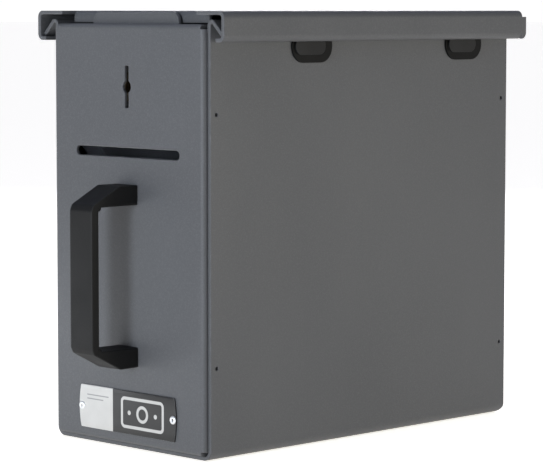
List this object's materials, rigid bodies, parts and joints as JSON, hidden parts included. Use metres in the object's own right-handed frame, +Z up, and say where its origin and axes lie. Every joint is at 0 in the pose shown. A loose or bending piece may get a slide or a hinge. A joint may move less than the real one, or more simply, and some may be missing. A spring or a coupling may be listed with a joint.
{
  "type": "under-counter banknote safe",
  "caption": "Under-counter banknote safe: folded steel box with note slot, key lock and pull handle, hung by hook rails in a C-section bracket.",
  "frame": {"origin": "centre of the safe body's underside", "axes": "+Z up towards the counter, -Y towards the user, who pulls the safe out that way, +X to the right as seen by the user"},
  "size_m": [0.1502, 0.2786, 0.238],
  "materials": {
    "grey_coat": "fine orange-peel powder coat, satin",
    "handle_plastic": "satin moulded",
    "plate_print": "satin two-tone print",
    "rivet_steel": "bright",
    "pad_plastic": "matt moulded",
    "zinc_steel": "zinc plated",
    "spring_steel": "bright drawn",
    "lock_brass": "machined"
  },
  "bodies": {
    "bracket": {"mounting_bracket": "grey_coat"},
    "safe": {"body_shell": "grey_coat", "front_panel": "grey_coat", "back_panel": "grey_coat", "pull_handle": "handle_plastic", "handle_screws": "zinc_steel", "handle_washers": "zinc_steel", "nameplate": "plate_print", "nameplate_rivets": "rivet_steel", "glide_pads": "pad_plastic", "pad_push_nuts": "zinc_steel", "lock_cover": "zinc_steel", "lock_case": "zinc_steel", "lock_case_screws": "zinc_steel", "panel_studs": "zinc_steel", "stud_nuts": "zinc_steel", "lever_pivot_pin": "zinc_steel", "upper_note_guide": "zinc_steel", "lower_note_guide": "zinc_steel", "flap_hinge_pin": "zinc_steel", "flap_pin_clips": "spring_steel"},
    "key_rotor": {"keyway_rotor": "lock_brass"},
    "bolt": {"lock_bolt": "zinc_steel"},
    "levers": {"lock_levers": "lock_brass", "lever_springs": "spring_steel"},
    "flap": {"anti_fishing_flap": "zinc_steel", "flap_spring": "spring_steel"}
  },
  "joints": [
    {"name": "safe_slide", "type": "slide", "parent": "bracket", "child": "safe", "axis": [0, -1, 0], "range_m": [0, 0.235]},
    {"name": "key_turn", "type": "hinge", "parent": "safe", "child": "key_rotor", "pos_m": [0, -0.116, 0.1972], "axis": [0, 1, 0], "range_deg": [0, 180]},
    {"name": "bolt_rise", "type": "slide", "parent": "safe", "child": "bolt", "axis": [0, 0, 1], "range_m": [0, 0.0065]},
    {"name": "lever_lift", "type": "hinge", "parent": "safe", "child": "levers", "pos_m": [-0.0175, -0.115, 0.188], "axis": [0, -1, 0], "range_deg": [0, 6], "stiffness_Nm_per_rad": 0.05, "springref_deg": -11.46},
    {"name": "flap_swing", "type": "hinge", "parent": "safe", "child": "flap", "pos_m": [0, -0.093, 0.152], "axis": [1, 0, 0], "range_deg": [0, 55], "stiffness_Nm_per_rad": 0.02, "springref_deg": -17.19}
  ],
  "couplings": [
    {"joint": "key_turn", "follows": "bolt_rise", "rad_per_m": 483.3}
  ]
}
